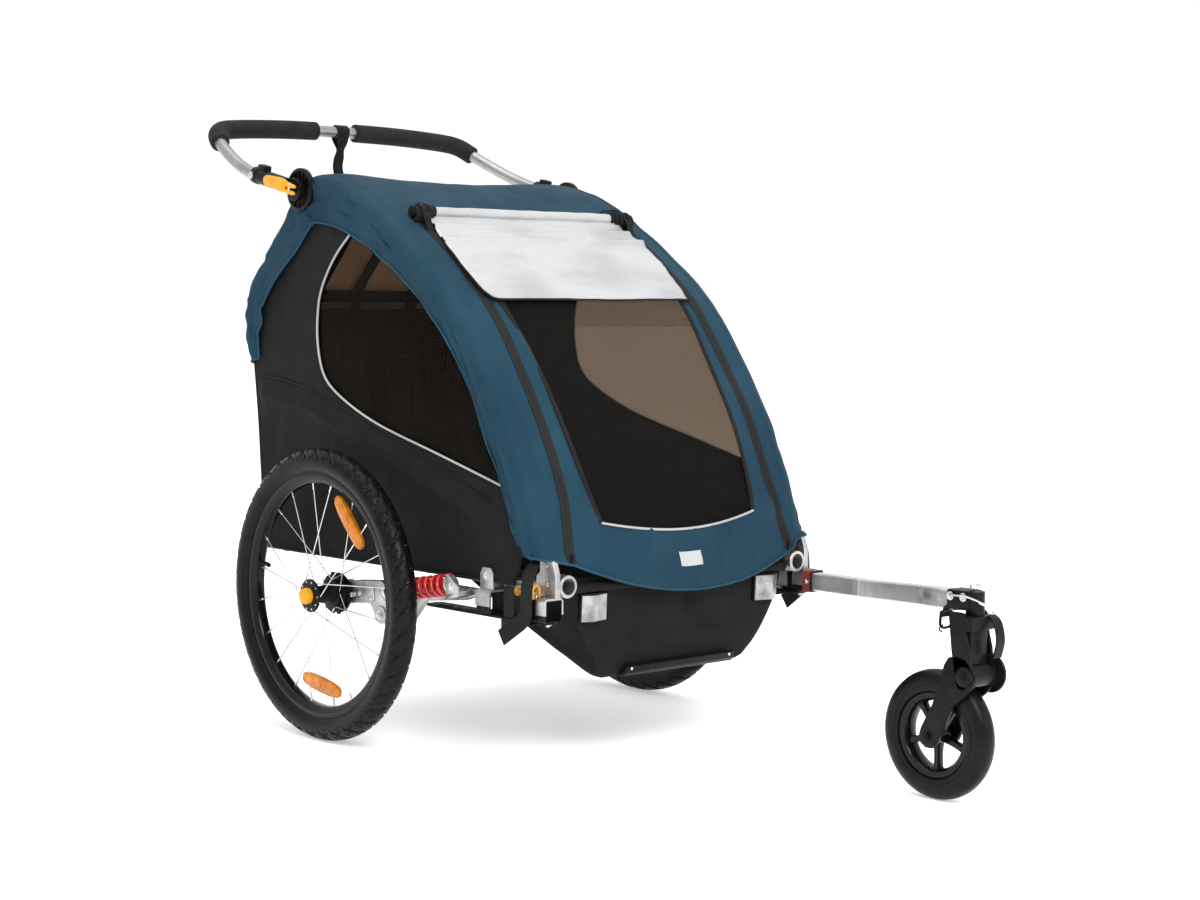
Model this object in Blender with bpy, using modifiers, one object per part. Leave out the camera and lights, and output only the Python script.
"""Two-wheeled child trailer with a stroller wheel, as separate solids in metres.

+X points forward, +Y to the trailer's left and +Z up. The pieces are placed from the axle line, and
the root empty moves that line so that the world origin is on the ground under the trailer's middle.
"""

import math

import bmesh
import bpy
from mathutils import Matrix, Vector

# Driving sizes
AXLE_X = -0.2945
WHEEL_RADIUS = 0.248
HALF_TRACK = 0.371
BODY_HALF_WIDTH = 0.300
CLOTH = 0.003
GAP = 0.0005
TUBE_RADIUS = 0.011

# Wheel
WHEEL_FACETS = 32
TYRE_HALF_WIDTH = 0.0225
RIM_INNER = 0.193
RIM_OUTER = 0.2055
HUB_RADIUS = 0.015
FLANGE_RADIUS = 0.025
SPOKE_RADIUS = 0.0012
SPOKE_COUNT = 20
AXLE_PIN_RADIUS = 0.006
BUTTON_BASE = 0.0310
COG_NOTCHES = 12
BORE_PLAY = 0.0005

# Suspension, seen from the side
ARM_PIVOT = Vector((0.115, 0.0, 0.222))
SPRING_REAR = Vector((0.133, 0.0, 0.264))
SPRING_FRONT = Vector((0.278, 0.0, 0.2884))
SPRING_Y = 0.324
BRAKE_PIN_X = 0.034

# Lower frame and tow receivers
RAIL_Y = 0.262
RAIL_Z = 0.303
RAIL_RADIUS = 0.0125
SOCKET_Y = 0.292
SOCKET_Z = 0.268
SOCKET_OPENING = 0.032
SOCKET_WALL = 0.003
RECEIVER_FRONTS = {"front": 0.506, "rear": 0.372}
RECEIVER_LENGTH = 0.036

# Handlebar
HANDLE_PIVOT = Vector((-0.151, 0.0, 0.937))
HANDLE_Y = 0.3275
LEVER_Y = 0.3475
HANDLE_TUBE_RADIUS = 0.011
GRIP_RADIUS = 0.016
GRIP_END_Y = 0.035
GRIP_START_Z = 1.030

# Stroller wheel
CASTER_AXIS = Vector((1.035, 0.074, 0.0))
STROLLER_WHEEL = Vector((0.971, 0.074, 0.0990))
STROLLER_FACETS = 24
ARM_HEIGHT = 0.030
ARM_WIDTH = 0.026

# The cover's outer edge seen from the side, from the rear flap over the roof to the front: x, z, and
# how far its side band reaches inwards.
COVER_EDGE = [
    (-0.342, 0.630, 0.046),
    (-0.348, 0.690, 0.054),
    (-0.318, 0.758, 0.062),
    (-0.268, 0.832, 0.072),
    (-0.220, 0.900, 0.084),
    (-0.172, 0.952, 0.092),
    (-0.120, 0.966, 0.088),
    (-0.045, 0.950, 0.080),
    (0.035, 0.914, 0.070),
    (0.114, 0.866, 0.062),
    (0.200, 0.806, 0.058),
    (0.276, 0.740, 0.056),
    (0.346, 0.650, 0.056),
    (0.416, 0.536, 0.056),
    (0.462, 0.432, 0.058),
    (0.484, 0.372, 0.058),
    (0.500, 0.335, 0.058),
]
WINDOW_ROWS = (11, 14)
WINDOW_HALF_WIDTHS = {11: 0.200, 12: 0.200, 13: 0.190, 14: 0.172}
PLAIN_HALF_WIDTH = 0.190
FRONT_BULGE = 0.020
FRONT_HEM_DROP = 0.050

SIDE_WINDOW = [
    (-0.020, 0.838),
    (0.050, 0.838),
    (0.130, 0.795),
    (0.215, 0.715),
    (0.305, 0.590),
    (0.370, 0.470),
    (0.231, 0.495),
    (0.040, 0.552),
    (-0.070, 0.597),
    (-0.112, 0.640),
    (-0.116, 0.705),
    (-0.075, 0.780),
]

BLUE = (0.022, 0.090, 0.160)
BLACK = (0.020, 0.020, 0.021)
WHITE_VINYL = (0.78, 0.79, 0.80)
TINT = (0.045, 0.038, 0.032)
SILVER = (0.62, 0.63, 0.64)
ORANGE = (0.95, 0.45, 0.02)
RED = (0.75, 0.05, 0.03)
RUBBER = (0.018, 0.018, 0.018)

SIDES = {"right": -1, "left": 1}


# Scene


def clear_scene():
    for old in list(bpy.data.objects):
        bpy.data.objects.remove(old)


def new_collection(name):
    collection = bpy.data.collections.new(name)
    bpy.context.scene.collection.children.link(collection)
    return collection


clear_scene()
PARTS = new_collection("child_trailer")
MATERIALS = {}


def material(name, color, roughness, metallic=0.0):
    if name not in MATERIALS:
        made = bpy.data.materials.new(name)
        made.use_nodes = True
        surface = made.node_tree.nodes["Principled BSDF"]
        surface.inputs["Base Color"].default_value = (*color, 1.0)
        surface.inputs["Roughness"].default_value = roughness
        surface.inputs["Metallic"].default_value = metallic
        MATERIALS[name] = made
    return MATERIALS[name]


def empty(name, place, parent=None):
    made = bpy.data.objects.new(name, None)
    PARTS.objects.link(made)
    made.parent = parent
    made.location = place
    return made


def linked(name, data):
    made = bpy.data.objects.new(name, data)
    PARTS.objects.link(made)
    return made


def finish(piece, name, look, pivot):
    """Name a piece, give it its material and hang it on its pivot."""
    piece.name = name
    piece.data.name = name
    piece.data.materials.clear()
    piece.data.materials.append(look)
    piece.parent = pivot
    if pivot is not ROOT:
        piece.location -= pivot.location
    return piece


# Shapes


def as_mesh(piece):
    """The piece with its modifiers applied and its loose caps welded, as a plain mesh in place."""
    bpy.context.view_layer.update()
    shape = bpy.data.meshes.new_from_object(piece.evaluated_get(bpy.context.evaluated_depsgraph_get()))
    shape.transform(piece.matrix_world)
    body = bmesh.new()
    body.from_mesh(shape)
    bmesh.ops.remove_doubles(body, verts=body.verts, dist=1e-6)
    bmesh.ops.recalc_face_normals(body, faces=body.faces)
    body.to_mesh(shape)
    body.free()
    made = linked(piece.name, shape)
    bpy.data.objects.remove(piece)
    return made


def boolean(base, other, operation):
    cut = base.modifiers.new(operation, "BOOLEAN")
    cut.operation = operation
    cut.object = other
    made = as_mesh(base)
    bpy.data.objects.remove(other)
    return made


def fused(pieces, cutters=()):
    """The pieces joined into one solid, less the cutters."""
    base = as_mesh(pieces[0])
    for piece in pieces[1:]:
        base = boolean(base, as_mesh(piece), "UNION")
    for cutter in cutters:
        base = boolean(base, as_mesh(cutter), "DIFFERENCE")
    return base


def box(size, place, turn=(0.0, 0.0, 0.0), bevel=0.0):
    shape = bmesh.new()
    bmesh.ops.create_cube(shape, size=1.0)
    bmesh.ops.scale(shape, vec=size, verts=shape.verts)
    data = bpy.data.meshes.new("box")
    shape.to_mesh(data)
    shape.free()
    made = linked("box", data)
    made.location = place
    made.rotation_euler = turn
    if bevel:
        edge = made.modifiers.new("edge", "BEVEL")
        edge.width = bevel
        edge.segments = 2
    return made


def cylinder(radius, start, end, sides=16):
    """A round bar between two points."""
    shape = bmesh.new()
    axis = Vector(end) - Vector(start)
    bmesh.ops.create_cone(
        shape, cap_ends=True, segments=sides, radius1=radius, radius2=radius, depth=axis.length
    )
    data = bpy.data.meshes.new("cylinder")
    shape.to_mesh(data)
    shape.free()
    made = linked("cylinder", data)
    made.location = (Vector(start) + Vector(end)) / 2
    made.rotation_euler = axis.to_track_quat("Z", "Y").to_euler()
    return made


def turned(profile, place, steps=WHEEL_FACETS, facing=1, closed=True):
    """An outline of (radius, along) points turned about the crosswise axis, with one flat facing down.

    An outline that is not closed starts and ends on the axis. Facing -1 turns it to the other side.
    """
    shape = bmesh.new()
    corners = [shape.verts.new((radius, 0.0, along)) for radius, along in profile]
    following = corners[1:] + corners[:1] if closed else corners[1:]
    for first, second in zip(corners, following):
        shape.edges.new((first, second))
    data = bpy.data.meshes.new("turned")
    shape.to_mesh(data)
    shape.free()
    data.transform(Matrix.Rotation(math.pi / steps, 4, "Z"))
    made = linked("turned", data)
    screw = made.modifiers.new("turn", "SCREW")
    screw.steps = steps
    screw.render_steps = steps
    screw.use_merge_vertices = True
    screw.merge_threshold = 1e-5
    made.rotation_euler = (-facing * math.pi / 2, 0.0, 0.0)
    made.location = place
    return made


def smooth_path(points, per_span=4):
    """A smooth curve through the points."""
    ends = [points[0], *points, points[-1]]
    path = []
    for a, b, c, d in zip(ends, ends[1:], ends[2:], ends[3:]):
        a, b, c, d = Vector(a), Vector(b), Vector(c), Vector(d)
        for step in range(per_span):
            t = step / per_span
            bend = (2 * a - 5 * b + 4 * c - d) * t**2 + (3 * b - a - 3 * c + d) * t**3
            path.append(0.5 * (2 * b + (c - a) * t + bend))
    path.append(Vector(points[-1]))
    return path


def tube(points, radius, resolution=2):
    data = bpy.data.curves.new("tube", "CURVE")
    data.dimensions = "3D"
    spline = data.splines.new("POLY")
    spline.points.add(len(points) - 1)
    for slot, point in zip(spline.points, points):
        slot.co = (*point, 1.0)
    data.bevel_depth = radius
    data.bevel_resolution = resolution
    data.use_fill_caps = True
    return as_mesh(linked("tube", data))


def plate(outlines, middle_y, thickness):
    """Outlines of (x, z) points filled as a flat plate that faces sideways; inner outlines are holes."""
    data = bpy.data.curves.new("plate", "CURVE")
    data.dimensions = "2D"
    data.fill_mode = "BOTH"
    data.extrude = thickness / 2
    for outline in outlines:
        spline = data.splines.new("POLY")
        spline.points.add(len(outline) - 1)
        spline.use_cyclic_u = True
        for slot, (x, z) in zip(spline.points, outline):
            slot.co = (x, z, 0.0, 1.0)
    made = linked("plate", data)
    made.rotation_euler = (math.pi / 2, 0.0, 0.0)
    made.location = (0.0, middle_y, 0.0)
    return as_mesh(made)


def sheet(rows, thickness, skip=()):
    """A skin through rows of points, thickened inwards; skip lists (row, column) cells left open."""
    shape = bmesh.new()
    grid = [[shape.verts.new(point) for point in row] for row in rows]
    for r, (low, high) in enumerate(zip(grid, grid[1:])):
        for c in range(len(low) - 1):
            if (r, c) not in skip:
                shape.faces.new((low[c], high[c], high[c + 1], low[c + 1]))
    loose = [corner for corner in shape.verts if not corner.link_faces]
    bmesh.ops.delete(shape, geom=loose, context="VERTS")
    data = bpy.data.meshes.new("sheet")
    shape.to_mesh(data)
    shape.free()
    made = linked("sheet", data)
    shell = made.modifiers.new("thickness", "SOLIDIFY")
    shell.thickness = thickness
    shell.offset = -1.0
    return made


def about_y(points, side):
    """(x, z) points at a distance to one side, or (x, y, z) points mirrored to that side."""
    return [(x, side * y, z) for x, y, z in points]


# Cover surface


def edge_normal(row):
    """The outward normal of the cover's edge at a row, in the side view."""
    if row == len(COVER_EDGE) - 1:
        return Vector((1.0, 0.0))
    before = COVER_EDGE[max(row - 1, 0)]
    after = COVER_EDGE[row + 1]
    along = Vector((after[0] - before[0], after[1] - before[1])).normalized()
    return Vector((-along.y, along.x))


def edge_point(row, depth):
    """The point this far inside the cover's edge at a row, in the side view."""
    x, z, _ = COVER_EDGE[row]
    normal = edge_normal(row)
    return x - normal.x * depth, z - normal.y * depth


def inset_edge(first, last, depth):
    return [edge_point(row, depth) for row in range(first, last + 1)]


def bulge(row, y):
    """How far the lower front stands forward, and its hem hangs down, near the middle."""
    share = max(0.0, 1.0 - (y / 0.245) ** 2)
    forward = {13: 0.25, 14: 0.6, 15: 0.85, 16: 1.0}.get(row, 0.0)
    drop = {15: 0.25, 16: 1.0}.get(row, 0.0)
    return FRONT_BULGE * forward * share, -FRONT_HEM_DROP * drop * share


def cover_section(row, lift=0.0):
    """One cross-section of the cover, from the right side over the top to the left side."""
    band = COVER_EDGE[row][2]
    window = WINDOW_HALF_WIDTHS.get(row, PLAIN_HALF_WIDTH)
    outer = BODY_HALF_WIDTH + 0.004
    half = [
        (outer, band),
        (outer, 0.5 * (band + 0.030)),
        (outer, 0.030),
        (outer - 0.009, 0.011),
        (outer - 0.030, 0.002),
        (0.235, 0.0),
        (window, 0.0),
        (0.5 * window, 0.0),
        (0.0, 0.0),
    ]
    section = []
    for y, depth in half + half[-2::-1]:
        side = -1 if len(section) < len(half) else 1
        x, z = edge_point(row, depth - lift)
        forward, drop = bulge(row, y) if depth == 0.0 else (0.0, 0.0)
        section.append((x + forward, side * y, z + drop))
    return section


def strip(first, last, half_width, lift):
    """Rows of points that follow the cover's top between two rows, raised by lift."""
    rows = []
    for row in range(first, last + 1):
        x, z = edge_point(row, -lift)
        wide = half_width(row)
        line = []
        for share in (-1.0, -0.5, 0.0, 0.5, 1.0):
            forward, drop = bulge(row, share * wide)
            line.append((x + forward, share * wide, z + drop))
        rows.append(line)
    return rows


# Fabric and windows


def build_cover():
    rows = [cover_section(row) for row in range(len(COVER_EDGE))]
    middle = len(rows[0]) // 2
    window = {
        (row, column)
        for row in range(*WINDOW_ROWS)
        for column in range(middle - 2, middle + 2)
    }
    cover = sheet(rows, CLOTH, window)
    holes = [
        cylinder(0.0125, HANDLE_PIVOT + Vector((0, s * 0.27, 0)), HANDLE_PIVOT + Vector((0, s * 0.32, 0)))
        for s in SIDES.values()
    ]
    finish(fused([cover], holes), "fabric_cover", material("blue_cloth", BLUE, 0.8), ROOT)


def build_windows():
    rows = strip(10, 15, lambda row: WINDOW_HALF_WIDTHS.get(row, 0.172) + 0.014, -CLOTH - 0.001)
    mesh = sheet(rows, 0.0015)
    finish(as_mesh(mesh), "mesh_window", material("dark_mesh", TINT, 0.6), ROOT)
    rows = strip(9, 11, lambda row: 0.228, 0.003)
    rain = sheet(rows, 0.002)
    roll_x, roll_z = edge_point(9, -0.0115)
    roll = cylinder(0.0095, (roll_x, -0.228, roll_z), (roll_x, 0.228, roll_z), 12)
    finish(fused([rain, roll]), "vinyl_cover", material("clear_vinyl", WHITE_VINYL, 0.25), ROOT)


def side_outline():
    rear = [(-0.286, 0.300), (-0.295, 0.428), (-0.303, 0.560)]
    return rear + inset_edge(0, 16, 0.033)[1:] + [(0.440, 0.352), (0.420, 0.300)]


def grown(outline, by):
    middle = sum((Vector(point) for point in outline), Vector((0.0, 0.0))) / len(outline)
    grown_points = []
    for point in outline:
        away = Vector(point) - middle
        grown_points.append(tuple(Vector(point) + away.normalized() * by))
    return grown_points


def build_side_fabric(side, s):
    panel = plate([side_outline(), SIDE_WINDOW], s * 0.298, CLOTH)
    hole = cylinder(0.0125, HANDLE_PIVOT + Vector((0, s * 0.28, 0)), HANDLE_PIVOT + Vector((0, s * 0.31, 0)))
    panel = fused([panel], [hole])
    finish(panel, f"side_panel_{side}", material("black_cloth", BLACK, 0.85), ROOT)
    window = plate([grown(SIDE_WINDOW, 0.010)], s * 0.2950, 0.0015)
    finish(window, f"side_window_{side}", material("tinted_vinyl", TINT, 0.2), ROOT)


def build_rear_panel():
    line = [(-0.284, 0.322), (-0.2935, 0.428), (-0.306, 0.540), (-0.318, 0.640)]
    columns = (-0.292, -0.15, 0.0, 0.15, 0.292)
    rows = [[(x, y, z) for y in columns] for x, z in line]
    finish(as_mesh(sheet(rows, CLOTH)), "rear_panel", material("black_cloth", BLACK, 0.85), ROOT)


def build_floor():
    """The floor, flat under the seat, dropping into the foot well and up its front wall."""
    stations = [
        (-0.270, 0.3215, 0.236),
        (0.160, 0.3215, 0.236),
        (0.230, 0.275, 0.215),
        (0.330, 0.206, 0.182),
        (0.440, 0.150, 0.156),
        (0.470, 0.146, 0.156),
    ]
    rows = []
    for x, low, wide in stations:
        top = 0.3215
        rows.append(
            [(x, -0.240, top), (x, -wide, low), (x, -0.5 * wide, low), (x, 0.0, low)]
            + [(x, 0.5 * wide, low), (x, wide, low), (x, 0.240, top)]
        )
    for x, low, wide in ((0.480, 0.215, 0.212), (0.485, 0.312, 0.236)):
        rows.append(
            [(x, -0.240, 0.3225), (x, -wide, low), (x, -0.5 * wide, low), (x, 0.0, low)]
            + [(x, 0.5 * wide, low), (x, wide, low), (x, 0.240, 0.3225)]
        )
    finish(as_mesh(sheet(rows, 0.0025)), "floor_tub", material("black_cloth", BLACK, 0.85), ROOT)


def build_seat():
    cloth = material("seat_cloth", (0.035, 0.035, 0.037), 0.9)
    cushion = box((0.300, 0.440, 0.036), (-0.045, 0.0, 0.3450), bevel=0.012)
    finish(cushion, "seat_cushion", cloth, ROOT)
    lean = math.radians(-7.0)
    back = box((0.030, 0.460, 0.380), (-0.243, 0.0, 0.556), (0.0, lean, 0.0), 0.012)
    finish(back, "seat_back", cloth, ROOT)


# Frame


def build_side_frame(side, s):
    rear = [(-0.262, 0.3300), (-0.270, 0.428), (-0.288, 0.560)]
    front = [(0.468, 0.338)]
    outline = rear + inset_edge(1, 3, 0.046) + inset_edge(4, 15, 0.028) + front
    arch = tube(smooth_path([(x, s * 0.272, z) for x, z in outline], 2), TUBE_RADIUS)
    brace_line = [(-0.291, 0.580), (-0.150, 0.560), (0.080, 0.495), (0.240, 0.440), (0.441, 0.372)]
    brace = tube(smooth_path([(x, s * 0.274, z) for x, z in brace_line], 2), 0.008)
    frame = fused([arch, brace])
    finish(frame, f"side_frame_{side}", material("aluminium_tube", SILVER, 0.35, 1.0), ROOT)


def build_base_frame():
    pieces = [
        tube([(-0.262, s * RAIL_Y, RAIL_Z), (0.469, s * RAIL_Y, RAIL_Z)], RAIL_RADIUS)
        for s in SIDES.values()
    ]
    for x in (-0.247, 0.130):
        pieces.append(tube([(x, -RAIL_Y, RAIL_Z), (x, RAIL_Y, RAIL_Z)], TUBE_RADIUS))
    finish(fused(pieces), "base_frame", material("aluminium_tube", SILVER, 0.35, 1.0), ROOT)
    bar = cylinder(0.010, (0.4975, -0.2405, 0.290), (0.4975, 0.2405, 0.290), 12)
    finish(bar, "front_cross_bar", material("aluminium_tube", SILVER, 0.35, 1.0), ROOT)
    top = cylinder(0.0110, (-0.147, -0.2600, 0.924), (-0.147, 0.2600, 0.924), 12)
    finish(top, "rear_cross_bar", material("aluminium_tube", SILVER, 0.35, 1.0), ROOT)


def build_receiver(place, side, s):
    """A square tow-arm socket; the front one also has the ring round the side rail's end."""
    front = RECEIVER_FRONTS[place]
    middle = front - RECEIVER_LENGTH / 2
    outer = SOCKET_OPENING + 2 * SOCKET_WALL
    body = box((RECEIVER_LENGTH, outer, outer), (middle, s * SOCKET_Y, SOCKET_Z))
    hollow = box((RECEIVER_LENGTH * 2, SOCKET_OPENING, SOCKET_OPENING), (middle, s * SOCKET_Y, SOCKET_Z))
    ear = box((RECEIVER_LENGTH, 0.004, 0.050), (middle, s * (RAIL_Y + 0.0165), SOCKET_Z + 0.035))
    pieces = [body, ear]
    cutters = [hollow]
    if place == "front":
        start = Vector((front - RECEIVER_LENGTH, s * RAIL_Y, RAIL_Z))
        end = Vector((front, s * RAIL_Y, RAIL_Z))
        clear = Vector((0.01, 0.0, 0.0))
        pieces.append(cylinder(0.018, start, end))
        cutters.append(cylinder(RAIL_RADIUS, start - clear, end + clear))
        pin_top = Vector((middle, s * SOCKET_Y, SOCKET_Z + outer))
        cutters.append(cylinder(0.0042, pin_top, pin_top - Vector((0, 0, outer * 0.75)), 12))
    look = material("cast_aluminium", SILVER, 0.45, 1.0)
    finish(fused(pieces, cutters), f"{place}_receiver_{side}", look, ROOT)


def build_receiver_plate(side, s):
    outer = SOCKET_OPENING / 2 + SOCKET_WALL
    top = SOCKET_Z - outer - GAP
    slab = box((0.300, 0.036, 0.004), (0.345, s * 0.289, top - 0.002), bevel=0.0015)
    slot = box((0.028, 0.009, 0.02), (0.235, s * 0.289, top - 0.002))
    look = material("black_steel", BLACK, 0.5, 0.3)
    finish(fused([slab], [slot]), f"receiver_plate_{side}", look, ROOT)


def build_receiver_strap(side, s):
    """The safety webbing that hangs from the side rail past the receiver, with its loose tail."""
    x = 0.428
    beside = [(0.3020, 0.330), (0.3155, 0.310), (0.3165, 0.262)]
    tail = [(0.3165, 0.236), (0.296, 0.215), (0.262, 0.196)]
    rows = [[(x - 0.012, s * y, z), (x + 0.012, s * y, z)] for y, z in beside + tail]
    strap = sheet(rows, 0.0016)
    strap.modifiers["thickness"].offset = 0.0
    finish(as_mesh(strap), f"receiver_strap_{side}", material("black_cloth", BLACK, 0.85), ROOT)


def build_reflector(side, s):
    face = box((0.008, 0.044, 0.044), (0.4885, s * 0.196, 0.2570), (0.0, 0.05, 0.0), 0.003)
    finish(face, f"front_reflector_{side}", material("silver_reflector", (0.75, 0.76, 0.78), 0.15), ROOT)


# Handlebar


def build_handle_hub(side, s):
    start = HANDLE_PIVOT + Vector((0, s * 0.2845, 0))
    middle = HANDLE_PIVOT + Vector((0, s * 0.3045, 0))
    end = HANDLE_PIVOT + Vector((0, s * 0.3125, 0))
    hub = fused([cylinder(0.034, middle, end, 24), cylinder(0.011, start, middle + (end - middle) / 2)])
    finish(hub, f"handle_hub_{side}", material("black_plastic", BLACK, 0.5), ROOT)


def handle_route():
    """The handlebar's route on the left side, from the clamp back to the middle of the bar."""
    corner = [(-0.424, 0.300, 1.034), (-0.452, 0.282, 1.053), (-0.463, 0.245, 1.061)]
    straight = [(-0.196, HANDLE_Y, 0.951), (-0.270, HANDLE_Y, 0.968), (-0.345, 0.318, 0.995)]
    return [*straight, *corner, (-0.466, 0.140, 1.067), (-0.466, GRIP_END_Y, 1.069)]


def build_handlebar():
    left = smooth_path(handle_route(), 2)
    bar = tube([*about_y(left, -1), *reversed(left)], HANDLE_TUBE_RADIUS)
    finish(bar, "handlebar_tube", material("aluminium_tube", SILVER, 0.35, 1.0), HANDLE)


def build_handle_side(side, s):
    """Grip, clamp and cam lever of one side."""
    path = [Vector(point) for point in about_y(smooth_path(handle_route(), 2), s)]
    covered = [point for point in path if point.z > GRIP_START_Z]
    beyond = [covered[0] * 2 - covered[1], *covered, covered[-1] * 2 - covered[-2]]
    grip = fused([tube(covered, GRIP_RADIUS)], [tube(beyond, HANDLE_TUBE_RADIUS + 2 * GAP)])
    finish(grip, f"handle_grip_{side}", material("foam", RUBBER, 0.9), HANDLE)

    disc_in = HANDLE_PIVOT + Vector((0, s * 0.3135, 0))
    disc_out = HANDLE_PIVOT + Vector((0, s * 0.3340, 0))
    arm = Vector((-0.196, s * HANDLE_Y, 0.951))
    sleeve_end = Vector((-0.262, s * HANDLE_Y, 0.9662))
    along = (sleeve_end - arm).normalized()
    body = [
        cylinder(0.026, disc_in, disc_out, 20),
        cylinder(0.0135, arm - along * 0.030, sleeve_end, 16),
    ]
    bore = cylinder(HANDLE_TUBE_RADIUS + 2 * GAP, arm - along * 0.001, sleeve_end + along * 0.02)
    clamp = fused(body, [bore])
    finish(clamp, f"handle_clamp_{side}", material("black_plastic", BLACK, 0.5), HANDLE)

    lever_tilt = math.atan2(0.0152, 0.066)
    lever = box((0.088, 0.009, 0.019), (-0.172, s * LEVER_Y, 0.9462), (0.0, lever_tilt, 0.0), 0.003)
    finish(lever, f"cam_lever_{side}", material("orange_plastic", ORANGE, 0.4), LEVERS[side])


def strap_angles():
    start = math.radians(-50)
    return [start + math.radians(280) * step / 10 for step in range(11)]


def build_wrist_strap():
    """A webbing loop round the bar with its tail hanging down."""
    across = 0.011
    gap = HANDLE_TUBE_RADIUS + 0.002
    loop = [(-0.466 + gap * math.cos(angle), 1.069 + gap * math.sin(angle)) for angle in strap_angles()]
    line = [(-0.466, 0.975), (-0.459, 1.040), *loop, (-0.473, 1.040), (-0.470, 0.975)]
    rows = [[(x, -across, z), (x, across, z)] for x, z in line]
    strap = sheet(rows, 0.0016)
    strap.modifiers["thickness"].offset = 0.0
    finish(as_mesh(strap), "wrist_strap", material("black_cloth", BLACK, 0.85), HANDLE)


# Suspension and wheels


def build_suspension(side, s):
    inner, outer = s * 0.3080, s * 0.3370
    axle = Vector((0.0, 0.0, WHEEL_RADIUS))
    spring_seat = SPRING_REAR - (SPRING_FRONT - SPRING_REAR).normalized() * 0.006
    body = [
        cylinder(0.021, axle + Vector((0, inner, 0)), axle + Vector((0, outer, 0)), 20),
        cylinder(0.015, ARM_PIVOT + Vector((0, inner, 0)), ARM_PIVOT + Vector((0, outer, 0))),
    ]
    web = [(0.0, 0.232), (0.0, 0.264), (0.118, 0.276), (0.127, 0.270), (0.124, 0.214), (0.105, 0.210)]
    body.append(plate([web], s * 0.3225, 0.022))
    body.append(box((0.008, 0.034, 0.034), spring_seat + Vector((0, s * SPRING_Y, 0)), (0.0, -0.165, 0.0)))
    near, far = Vector((0, s * 0.258, 0)), Vector((0, s * 0.387, 0))
    pin_at = Vector((BRAKE_PIN_X, 0.0, WHEEL_RADIUS))
    bores = [cylinder(AXLE_PIN_RADIUS + BORE_PLAY, at + near, at + far) for at in (axle, ARM_PIVOT)]
    bores.append(cylinder(0.0050, pin_at + near, pin_at + far))
    look = material("cast_aluminium", SILVER, 0.45, 1.0)
    finish(fused(body, bores), f"swing_arm_{side}", look, ARMS[side])

    outline = [(0.085, 0.210), (0.140, 0.205), (0.185, 0.252), (0.330, 0.268), (0.330, 0.284), (0.085, 0.284)]
    base = plate([outline], s * 0.2915, 0.014)
    seat_at = SPRING_FRONT + (SPRING_FRONT - SPRING_REAR).normalized() * 0.006
    shelf = box((0.008, 0.046, 0.017), seat_at + Vector((0, s * 0.3150, 0)), (0.0, -0.165, 0.0))
    pin_ends = [ARM_PIVOT + Vector((0, s * y, 0)) for y in (0.290, 0.337)]
    pin = cylinder(AXLE_PIN_RADIUS, *pin_ends)
    finish(fused([base, shelf, pin]), f"spring_bracket_{side}", look, ROOT)

    coil = tube(coil_points(s), 0.0024, 1)
    finish(coil, f"coil_spring_{side}", material("red_spring", RED, 0.35), ROOT)


def coil_points(s, turns=7, per_turn=9, radius=0.0155):
    along = SPRING_FRONT - SPRING_REAR
    clear = 0.0032
    start = SPRING_REAR + along.normalized() * clear
    reach = along.length - 2 * clear
    up = Vector((-along.z, 0.0, along.x)).normalized()
    points = []
    for step in range(turns * per_turn + 1):
        angle = 2 * math.pi * step / per_turn
        ring = up * math.cos(angle) + Vector((0, 1, 0)) * math.sin(angle)
        middle = start + along.normalized() * reach * step / (turns * per_turn)
        points.append(middle + ring * radius + Vector((0, s * SPRING_Y, 0)))
    return points


def tyre_profile(outer, inner, half_width, facets):
    """A tyre's section; its flats, not its corners, stand at the outer radius."""
    corner = outer / math.cos(math.pi / facets)
    return [
        (inner, -half_width * 0.62),
        (inner + 0.012, -half_width),
        (corner - 0.016, -half_width),
        (corner - 0.004, -half_width * 0.66),
        (corner, -half_width * 0.26),
        (corner, half_width * 0.26),
        (corner - 0.004, half_width * 0.66),
        (corner - 0.016, half_width),
        (inner + 0.012, half_width),
        (inner, half_width * 0.62),
    ]


def build_wheel(side, s):
    middle = Vector((0.0, s * HALF_TRACK, WHEEL_RADIUS))
    tyre = turned(tyre_profile(WHEEL_RADIUS, RIM_OUTER + 0.002, TYRE_HALF_WIDTH, WHEEL_FACETS), middle)
    finish(as_mesh(tyre), f"tyre_{side}", material("tyre_rubber", RUBBER, 0.8), WHEELS[side])

    section = [(RIM_INNER, -0.006), (RIM_INNER + 0.005, -0.0125), (RIM_OUTER, -0.0125)]
    section += [(radius, -along) for radius, along in reversed(section)]
    rim = turned(section, middle)
    finish(as_mesh(rim), f"rim_{side}", material("black_rim", BLACK, 0.35, 0.6), WHEELS[side])

    finish(build_hub(s, middle), f"wheel_hub_{side}", material("hub_steel", SILVER, 0.3, 1.0), WHEELS[side])

    domed = [(0.0, 0.0135), (0.013, 0.0120), (0.016, 0.0085), (0.016, 0.0), (0.0, 0.0)]
    button = turned(domed, middle + Vector((0, s * BUTTON_BASE, 0)), 16, s, False)
    finish(as_mesh(button), f"axle_button_{side}", material("orange_plastic", ORANGE, 0.4), BUTTONS[side])


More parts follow.
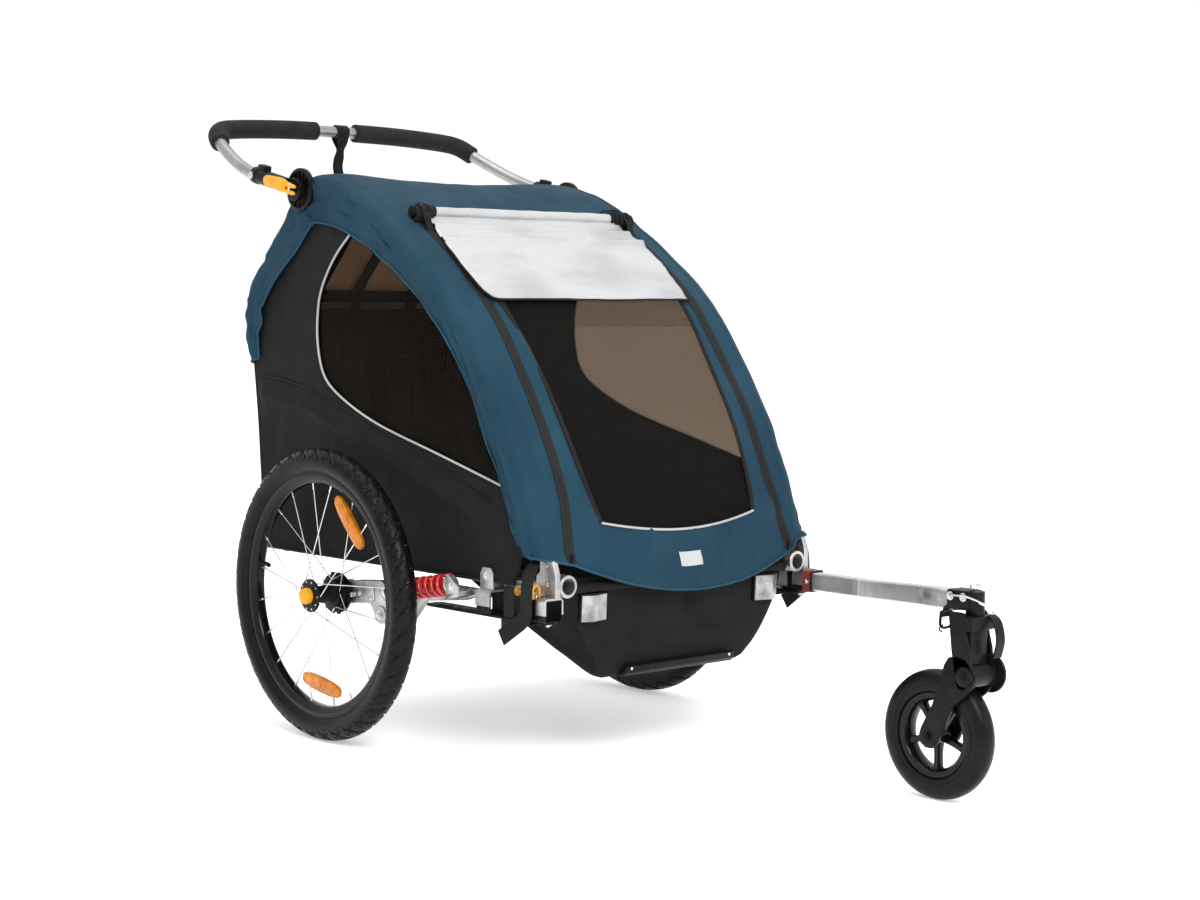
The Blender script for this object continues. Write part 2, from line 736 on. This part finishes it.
def build_hub(s, middle):
    """Hub shell, flanges, axle pin, brake cog and laced spokes as one piece."""
    across = Vector((0, s, 0))
    pieces = [
        cylinder(HUB_RADIUS, middle - across * 0.022, middle + across * 0.0275, 20),
        cylinder(FLANGE_RADIUS, middle - across * 0.0200, middle - across * 0.0165, 20),
        cylinder(FLANGE_RADIUS, middle + across * 0.0235, middle + across * 0.0270, 20),
        cylinder(AXLE_PIN_RADIUS, middle - across * 0.0600, middle),
        cylinder(0.034, middle - across * 0.0300, middle - across * 0.0250, 24),
        cylinder(0.020, middle - across * 0.0300, middle - across * 0.0180, 20),
    ]
    for index in range(SPOKE_COUNT):
        pieces.append(build_spoke(index, s, middle))
    notches = []
    for index in range(COG_NOTCHES):
        turn = 2 * math.pi * index / COG_NOTCHES
        spot = middle - across * 0.0275 + Vector((math.cos(turn), 0, math.sin(turn))) * BRAKE_PIN_X
        notches.append(cylinder(0.0062, spot - across * 0.01, spot + across * 0.0085, 10))
    return fused(pieces, notches)


def build_spoke(index, s, middle):
    """One spoke from a flange, crossing its neighbours, to just inside the rim."""
    outer_flange = index % 2 == 0
    lean = 1 if index % 4 < 2 else -1
    at_rim = 2 * math.pi * (index + 0.5) / SPOKE_COUNT
    at_hub = at_rim + lean * math.radians(62)
    flange = 0.0252 if outer_flange else -0.0182
    start = middle + Vector((math.cos(at_hub), 0, math.sin(at_hub))) * 0.0215 + Vector((0, s * flange, 0))
    reach = RIM_INNER * math.cos(math.pi / WHEEL_FACETS) - 0.0006
    end = middle + Vector((math.cos(at_rim), 0, math.sin(at_rim))) * reach
    return cylinder(SPOKE_RADIUS, start, end, 5)


def build_brake_pin(side, s):
    """The parking-brake pin that enters a notch of the cog."""
    spot = Vector((BRAKE_PIN_X, 0.0, WHEEL_RADIUS))
    pin = cylinder(0.0045, spot + Vector((0, s * 0.3050, 0)), spot + Vector((0, s * 0.3395, 0)), 12)
    finish(pin, f"brake_pin_{side}", material("hub_steel", SILVER, 0.3, 1.0), PINS[side])


def build_pull_pin(side, s):
    """The tow-arm locking pin with its pull ring."""
    outer = SOCKET_OPENING / 2 + SOCKET_WALL
    top = Vector((RECEIVER_FRONTS["front"] - RECEIVER_LENGTH / 2, s * SOCKET_Y, SOCKET_Z + outer))
    shaft = cylinder(0.0035, top + Vector((0, 0, 0.0080)), top - Vector((0, 0, SOCKET_WALL - 0.0003)), 12)
    collar = cylinder(0.0070, top + Vector((0, 0, 0.0006)), top + Vector((0, 0, 0.0050)), 12)
    ring_at = top + Vector((0, 0, 0.0180))
    section = [(0.0125, 0.0018), (0.0105, 0.0018), (0.0105, -0.0018), (0.0125, -0.0018)]
    ring = turned(section, ring_at, 16)
    look = material("orange_plastic", ORANGE, 0.4)
    finish(fused([shaft, collar, ring]), f"pull_pin_{side}", look, PULLS[side])


# Stroller wheel


def build_stroller_arm():
    """The bent rectangular arm from the left receiver to the caster."""
    line = [(0.350, 0.292, 0.268), (0.640, 0.292, 0.268), (0.930, 0.098, 0.303), (1.006, 0.074, 0.306)]
    half_w, half_h = ARM_WIDTH / 2, ARM_HEIGHT / 2
    shape = bmesh.new()
    rings = []
    for before, here, after in zip([line[0], *line], line, [*line[1:], line[-1]]):
        along = (Vector(after) - Vector(before)).normalized()
        across = Vector((0, 0, 1)).cross(along).normalized()
        up = along.cross(across)
        middle = Vector(here)
        corners = ((-half_w, -half_h), (half_w, -half_h), (half_w, half_h), (-half_w, half_h))
        rings.append([shape.verts.new(middle + across * a + up * b) for a, b in corners])
    for first, second in zip(rings, rings[1:]):
        for k in range(4):
            shape.faces.new((first[k], first[(k + 1) % 4], second[(k + 1) % 4], second[k]))
    shape.faces.new(rings[0][::-1])
    shape.faces.new(rings[-1])
    bmesh.ops.recalc_face_normals(shape, faces=shape.faces)
    data = bpy.data.meshes.new("arm")
    shape.to_mesh(data)
    shape.free()
    finish(linked("arm", data), "stroller_arm", material("satin_aluminium", SILVER, 0.4, 1.0), ROOT)


def build_caster():
    axis = CASTER_AXIS
    black = material("black_steel", BLACK, 0.5, 0.3)
    head = [
        box((0.030, 0.036, 0.038), (axis.x - 0.009, axis.y, 0.306)),
        cylinder(0.0140, (axis.x, axis.y, 0.2705), (axis.x, axis.y, 0.3100)),
    ]
    finish(fused(head), "caster_head", black, ROOT)

    half = 0.0265
    crown = box((0.046, 2 * half + 0.006, 0.024), (axis.x - 0.002, axis.y, 0.2735))
    pieces = [crown]
    for s in SIDES.values():
        cheek = [(1.010, 0.2855), (1.050, 0.2855), (1.062, 0.225), (1.060, 0.190), (1.040, 0.165)]
        cheek += [(0.990, 0.088), (0.971, 0.0805), (0.955, 0.090), (0.954, 0.106), (1.000, 0.190)]
        pieces.append(plate([cheek], axis.y + s * half, 0.006))
    wheel_pin = STROLLER_WHEEL + Vector((0, 0.0335, 0))
    pieces.append(cylinder(0.005, STROLLER_WHEEL - Vector((0, 0.0335, 0)), wheel_pin, 12))
    pieces.append(cylinder(0.009, (1.046, axis.y - half, 0.222), (1.046, axis.y + half, 0.222), 12))
    bearing = cylinder(0.0150, (axis.x, axis.y, 0.2700), (axis.x, axis.y, 0.30))
    finish(fused(pieces, [bearing]), "caster_fork", black, CASTER)


def build_stroller_wheel():
    radius = STROLLER_WHEEL.z
    tyre = turned(tyre_profile(radius, 0.0655, 0.0185, STROLLER_FACETS), STROLLER_WHEEL, STROLLER_FACETS)
    finish(as_mesh(tyre), "stroller_tyre", material("tyre_rubber", RUBBER, 0.8), STROLLER)
    section = [(0.0540, -0.0110), (0.0645, -0.0110), (0.0645, 0.0110), (0.0540, 0.0110)]
    pieces = [turned(section, STROLLER_WHEEL, STROLLER_FACETS)]
    across = Vector((0, 0.0180, 0))
    pieces.append(cylinder(0.0130, STROLLER_WHEEL - across, STROLLER_WHEEL + across))
    for index in range(5):
        angle = 2 * math.pi * index / 5
        middle = STROLLER_WHEEL + Vector((math.sin(angle), 0, math.cos(angle))) * 0.0335
        pieces.append(box((0.0100, 0.0120, 0.0450), middle, (0.0, angle, 0.0)))
    bore = cylinder(0.0055, STROLLER_WHEEL - 2 * across, STROLLER_WHEEL + 2 * across)
    finish(fused(pieces, [bore]), "stroller_rim", material("black_plastic", BLACK, 0.5), STROLLER)


# Pivots

ROOT = empty("trailer", (AXLE_X, 0.0, 0.0))
HANDLE = empty("handlebar_pivot", HANDLE_PIVOT, ROOT)
CASTER = empty("caster_pivot", CASTER_AXIS, ROOT)
STROLLER = empty("stroller_wheel_pivot", STROLLER_WHEEL, ROOT)
LEVERS = {}
ARMS = {}
WHEELS = {}
BUTTONS = {}
PINS = {}
PULLS = {}
for side, s in SIDES.items():
    LEVERS[side] = empty(f"cam_lever_pivot_{side}", (-0.131, s * LEVER_Y, 0.9367), ROOT)
    ARMS[side] = empty(f"swing_arm_pivot_{side}", ARM_PIVOT + Vector((0, s * SPRING_Y, 0)), ROOT)
    WHEELS[side] = empty(f"wheel_pivot_{side}", (0.0, s * HALF_TRACK, WHEEL_RADIUS), ROOT)
    button_at = (0.0, s * (HALF_TRACK + BUTTON_BASE), WHEEL_RADIUS)
    BUTTONS[side] = empty(f"axle_button_slide_{side}", button_at, ROOT)
    PINS[side] = empty(f"brake_pin_slide_{side}", (BRAKE_PIN_X, s * 0.322, WHEEL_RADIUS), ROOT)
    PULLS[side] = empty(f"pull_pin_slide_{side}", (0.488, s * SOCKET_Y, 0.290), ROOT)

# Build

build_cover()
build_windows()
build_rear_panel()
build_floor()
build_seat()
build_base_frame()
build_handlebar()
build_wrist_strap()
build_stroller_arm()
build_caster()
build_stroller_wheel()
for side, s in SIDES.items():
    build_side_fabric(side, s)
    build_side_frame(side, s)
    build_receiver("front", side, s)
    build_receiver("rear", side, s)
    build_receiver_plate(side, s)
    build_receiver_strap(side, s)
    build_reflector(side, s)
    build_handle_hub(side, s)
    build_handle_side(side, s)
    build_suspension(side, s)
    build_wheel(side, s)
    build_brake_pin(side, s)
    build_pull_pin(side, s)
